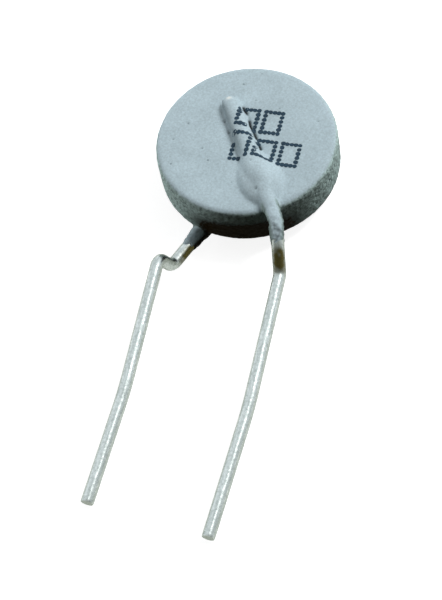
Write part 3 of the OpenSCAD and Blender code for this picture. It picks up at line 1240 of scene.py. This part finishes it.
@dataclass
class PrintedMark:
    """Two rows of plain open boxes jetted on the face, as dots that follow the skin.

    Each row is a number of boxes and the place of its middle, in mm from the disc's middle. Each noise has
    its steps per mm across and up, and a shift.
    """

    middle: Point
    rows: tuple[tuple[int, float, float], ...] = ((2, 0.43, 1.05), (3, 1.05, -0.62))
    dot_r: float = 0.118
    dot_x: float = 0.2
    dot_y: float = 0.235
    block_step: float = 1.14
    lift: float = 0.006
    steepest: float = 0.5
    spokes: int = 12
    above: float = 6.0
    uneven: float = 0.16
    uneven_noise: Point = (3.1, 2.7, 0.5)
    ragged: float = 0.22
    ragged_noise: Point = (9.0, 9.0, 2.0)

    def build(self, coat: LacquerCoat, material: bpy.types.Material) -> bpy.types.Object:
        """Lays the dots on the coat.

        Args:
            coat: The finished lacquer, which the dots follow.
            material: Ink finish.

        Returns:
            The mark's object.
        """
        skin = BVHTree.FromPolygons([Vector(p) for p in coat.points], coat.faces)
        points: list[Vector] = []
        faces: Faces = []
        for blocks, x, y in self.rows:
            for place in range(blocks):
                left = x + (place - (blocks - 1) / 2) * self.block_step
                for row, cells in enumerate(INK_BLOCK):
                    up = y + ((len(INK_BLOCK) - 1) / 2 - row) * self.dot_y
                    for column, cell in enumerate(cells):
                        across = left + (column - (len(cells) - 1) / 2) * self.dot_x
                        if cell == "1":
                            self.dot(skin, across, up, points, faces)
        made = make_object("printed_mark", np.array([tuple(p) for p in points]), faces)
        made.data.materials.append(material)
        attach(made, "root")
        LOG.info("%s: %d faces", made.name, len(faces))
        return made

    def dot(self, skin: BVHTree, x: float, y: float, points: list[Vector], faces: Faces) -> None:
        """Adds one uneven dot that follows the coat, where the coat isn't too steep to take ink.

        Args:
            skin: Search tree of the coat.
            x: Place across the face in mm from the disc's middle.
            y: Place up the face in mm from the disc's middle.
            points: Vertices so far, which the dot's are added to.
            faces: Faces so far, which the dot's are added to.
        """
        start = len(points)
        down = Vector((0.0, 0.0, -1.0))
        over = Vector(self.middle) + Vector((x, y, self.above))
        if skin.ray_cast(over, down)[1].z < self.steepest:
            return
        step_x, step_y, shift = self.uneven_noise
        spread = noise.noise(Vector((x * step_x, y * step_y, shift)))
        step_x, step_y, shift = self.ragged_noise
        for ring in range(self.spokes + 1):
            angle = ring * 2 * math.pi / self.spokes
            probe = Vector((x * step_x + math.cos(angle), y * step_y + math.sin(angle), shift))
            ragged = noise.noise(probe)
            reach = self.dot_r * (1 + self.uneven * spread + self.ragged * ragged)
            if ring == self.spokes:
                reach = 0.0
            spot = over + Vector((reach * math.cos(angle), reach * math.sin(angle), 0.0))
            hit = skin.ray_cast(spot, down)
            points.append(hit[0] + hit[1] * self.lift)
        for ring in range(self.spokes):
            faces.append((start + self.spokes, start + ring, start + (ring + 1) % self.spokes))


@dataclass
class Softbox:
    """A flat studio lamp: place, target, sides, power and whether reflections show it."""

    name: str
    place: Point
    target: Point
    sides: tuple[float, float]
    power: float
    mirrored: bool = False

    def build(self) -> bpy.types.Object:
        """Makes the lamp.

        Returns:
            The lamp's object.
        """
        data = bpy.data.lights.new(self.name, "AREA")
        data.shape = "RECTANGLE"
        data.size, data.size_y = (side * MM for side in self.sides)
        data.energy = self.power
        made = bpy.data.objects.new(self.name, data)
        made.location = Vector(self.place) * MM
        made.visible_glossy = self.mirrored
        way = Vector(self.target) - Vector(self.place)
        made.rotation_euler = way.to_track_quat("-Z", "Y").to_euler()
        bpy.context.scene.collection.objects.link(made)
        return made


@dataclass
class Studio:
    """Pale floor, soft lamps, a room that is palest behind the part, and the camera."""

    eye: Point = (23.6297, -50.7395, 86.2767)
    look_at: Point = (0.5196, -0.426, 1.32)
    roll: float = -12.951
    lens: float = 135.0
    floor_half: float = 1500.0
    eye_glow: float = 0.88
    mirror_glow: float = 0.42
    room_fill: float = 0.45
    room_mirror: float = 1.2
    sensor: float = 36.0
    near: float = 1.0
    far: float = 20000.0
    paper: str = "B4B4B4"
    paper_in_metal: str = "D9E0D0"
    paper_bounce: str = "3A382F"
    room_back: Point = (-0.17, 0.985, 0.0)
    room_span: Span = (-0.55, 0.22, 0.0, 1.0)
    fill_tones: Tones = ((0.0, "241E0C"), (0.3, "403A22"), (0.6, "B4B9B8"), (1.0, "E0E5E8"))
    wall_tones: Tones = ((0.0, "7E827F"), (0.3, "8A8E8B"), (0.6, "B4B9B8"), (1.0, "E0E5E8"))
    lamps: tuple[Softbox, ...] = (
        Softbox("key_softbox", (125.0, 140.0, 237.0), (0.0, 5.0, 2.0), (110.0, 110.0), 0.81),
        Softbox("low_side_softbox", (-290.0, -20.0, 28.0), (0.0, 5.0, 2.0), (120.0, 120.0), 0.6),
        Softbox("low_right_softbox", (280.0, 120.0, 40.0), (0.0, 5.0, 2.0), (120.0, 120.0), 0.08),
        Softbox("strip_softbox", (137.0, 76.0, 262.0), (0.0, -5.0, 1.0), (70.0, 190.0), 0.07, True),
    )

    def camera(self) -> bpy.types.Object:
        """Makes the camera at the photograph's angle.

        Returns:
            The camera's object.
        """
        data = bpy.data.cameras.new("camera")
        data.lens = self.lens
        data.sensor_width = self.sensor
        data.clip_start = self.near * MM
        data.clip_end = self.far * MM
        made = bpy.data.objects.new("camera", data)
        ahead = (Vector(self.look_at) - Vector(self.eye)).normalized()
        level = ahead.cross(Vector((0.0, 0.0, 1.0))).normalized()
        rise = level.cross(ahead)
        turn = math.radians(self.roll)
        right = level * math.cos(turn) + rise * math.sin(turn)
        up = rise * math.cos(turn) - level * math.sin(turn)
        spin = Matrix((right, up, -ahead)).transposed()
        made.matrix_world = Matrix.Translation(Vector(self.eye) * MM) @ spin.to_4x4()
        bpy.context.scene.collection.objects.link(made)
        bpy.context.scene.camera = made
        return made

    def ray_kinds(self, graph: Graph) -> tuple[Socket, Socket]:
        """Tells rays apart by where they come from.

        Args:
            graph: Graph that takes the nodes.

        Returns:
            Sockets that give 1 for rays from the camera, and for rays that were mirrored or passed on.
        """
        rays = graph.add("LightPath").outputs
        mirrored = graph.work("MAXIMUM", rays["Is Glossy Ray"], rays["Is Transmission Ray"])
        return rays["Is Camera Ray"], mirrored

    def floor_material(self) -> bpy.types.Material:
        """Builds the floor's paper: white to the eye, dimmer in reflections and dark to bounced light.

        Returns:
            The floor's material.
        """
        made = bpy.data.materials.new("white_paper_floor")
        made.use_nodes = True
        graph = Graph(made.node_tree)
        graph.tree.nodes.clear()
        camera, mirrored = self.ray_kinds(graph)
        seen = graph.work("MAXIMUM", camera, mirrored)
        level = graph.span(camera, (0.0, 1.0, self.mirror_glow, self.eye_glow))
        tint = graph.mix(camera, linear(self.paper_in_metal), linear(WHITE))
        paper = graph.add("BsdfDiffuse", {"Color": linear(self.paper)}).outputs[0]
        glow = graph.add("Emission", {"Color": tint, "Strength": level}).outputs[0]
        white = graph.add("AddShader", {0: paper, 1: glow}).outputs[0]
        dim = graph.add("BsdfDiffuse", {"Color": linear(self.paper_bounce)}).outputs[0]
        both = graph.add("MixShader", {0: seen, 1: dim, 2: white}).outputs[0]
        graph.add("OutputMaterial", {"Surface": both})
        return made

    def floor(self) -> bpy.types.Object:
        """Makes the floor.

        Returns:
            The floor's object.
        """
        half = self.floor_half
        corners = np.array([[-half, -half, 0.0], [half, -half, 0.0], [half, half, 0.0], [-half, half, 0.0]])
        made = make_object("studio_floor", corners, [(0, 1, 2, 3)])
        made.data.materials.append(self.floor_material())
        return made

    def room(self) -> None:
        """Sets the room: white to the eye, grey to pale in metal, brown as fill from the viewer's side."""
        world = bpy.data.worlds.new("studio_room")
        bpy.context.scene.world = world
        world.use_nodes = True
        graph = Graph(world.node_tree)
        graph.tree.nodes.clear()
        way = graph.add("TexCoord").outputs["Generated"]
        toward = graph.add("VectorMath", {0: way, 1: self.room_back}, operation="DOT_PRODUCT")
        spread = graph.span(toward.outputs["Value"], self.room_span)
        camera, mirrored = self.ray_kinds(graph)
        level = graph.span(mirrored, (0.0, 1.0, self.room_fill, self.room_mirror))
        sky = graph.mix(mirrored, graph.ramp(spread, self.fill_tones), graph.ramp(spread, self.wall_tones))
        light = graph.add("Background", {"Color": sky, "Strength": level}).outputs[0]
        white = graph.add("Background", {"Color": linear(WHITE), "Strength": 1.0}).outputs[0]
        both = graph.add("MixShader", {0: camera, 1: light, 2: white}).outputs[0]
        graph.add("OutputWorld", {"Surface": both})

    def build(self) -> None:
        """Builds the floor, the room, the lamps and the camera."""
        self.camera()
        self.floor()
        self.room()
        for lamp in self.lamps:
            lamp.build()
        bpy.context.scene.view_settings.view_transform = "Standard"
        LOG.info("studio: %d lamps", len(self.lamps))


def disc_middle() -> Point:
    """Takes the disc's middle from the frame.

    Returns:
        Point halfway between the outer faces of the electrodes, in mm.
    """
    low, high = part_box(Node.REAR_ELECTRODE.value)[0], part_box(Node.FRONT_ELECTRODE.value)[1]
    x, y, z = (low + high) / (2 * MM)
    return (x, y, z)


@dataclass
class Thermistor:
    """The whole part: coat, two leads, mark and the pieces inside.

    Corners are in mm from the disc's middle, with one bend radius for each inner corner. Each run of lacquer
    gives lengths along its wire and the radius that the lacquer has there.
    """

    middle: Point = field(default_factory=disc_middle)
    front_corners: tuple[Point, ...] = (
        (-1.25, 1.89, 1.18),
        (2.477, -4.387, 1.18),
        (2.975, -6.4, 0.0),
        (2.975, -13.0, -0.794),
        (2.563, -19.04, -1.52),
    )
    front_bends: tuple[float, ...] = (1.2, 0.52, 24.0)
    front_run: Pairs = (
        (5.5, 0.46),
        (6.2, 0.39),
        (7.0, 0.36),
        (7.6, 0.35),
        (8.1, 0.335),
        (8.5, 0.27),
    )
    rear_corners: tuple[Point, ...] = (
        (0.830, 1.663, -1.18),
        (-2.36, -6.0, -1.18),
        (-2.715, -6.42, 0.0),
        (-2.715, -13.0, -0.838),
        (-3.08, -18.35, -1.52),
    )
    rear_bends: tuple[float, ...] = (0.52, 0.52, 24.0)
    rear_run: Pairs = ((5.88, 0.46), (6.25, 0.41), (6.7, 0.35), (7.0, 0.33), (7.25, 0.27))
    rear_pool_at: float = 4.5
    # Brown tints: partly flux, partly a painted dark reflection, and on the rear lead also painted shade
    # under the disc
    front_flux_and_reflection: FluxAndPaintedReflection = FluxAndPaintedReflection(9.05, 0.62, 1.5, 90.0, 1.15)
    rear_flux_and_reflection: FluxAndPaintedReflection = FluxAndPaintedReflection(7.2, 0.75, 1.8, 175.0, 1.0)
    front_nicks: tuple[Nick, ...] = (Nick(15.6, 60.0, 0.012),)
    rear_nicks: tuple[Nick, ...] = (Nick(11.0, 100.0, 0.012), Nick(16.4, 80.0, 0.012))
    front_seed: float = 3.0
    rear_seed: float = 11.0

    def path(self, corners: Sequence[Point], radii: tuple[float, ...]) -> WirePath:
        """Moves a wire's corners from the disc's middle to the part's frame.

        Args:
            corners: Corners in mm from the disc's middle.
            radii: Bend radius in mm at each inner corner.

        Returns:
            The wire's path.
        """
        moved = tuple(tuple(float(a + b) for a, b in zip(c, self.middle)) for c in corners)
        return WirePath(moved, radii)

    def dress_inside(self) -> None:
        """Gives each piece inside the coat its finish and leaves its shape as it is."""
        for node, (slot, finish) in INSIDE_FINISHES.items():
            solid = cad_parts[node.value]
            solid.data.materials.clear()
            solid.data.materials.append(finish.material())
            LOG.info("%s: kept as it is, %s", node.value, finish.name)

    def build(self) -> None:
        """Builds every piece and dresses it."""
        front = self.path(self.front_corners, self.front_bends)
        rear = self.path(self.rear_corners, self.rear_bends)
        tin = TinnedCopper().material()
        LeadWire(Node.FRONT_LEAD, front, self.front_flux_and_reflection, self.front_nicks, self.front_seed).build(tin)
        LeadWire(Node.REAR_LEAD, rear, self.rear_flux_and_reflection, self.rear_nicks, self.rear_seed).build(tin)
        coat = LacquerCoat(
            WireLacquer(front, self.front_run),
            WireLacquer(rear, self.rear_run, pool_at=self.rear_pool_at),
            self.middle,
        )
        coat.build(DippedLacquer().material())
        PrintedMark(self.middle).build(coat, INK_FINISH.material())
        self.dress_inside()


def main() -> None:
    """Builds the part and its studio."""
    logging.basicConfig(level=logging.INFO, format="%(name)s %(message)s")
    Thermistor().build()
    Studio().build()


if __name__ == "__main__":
    main()
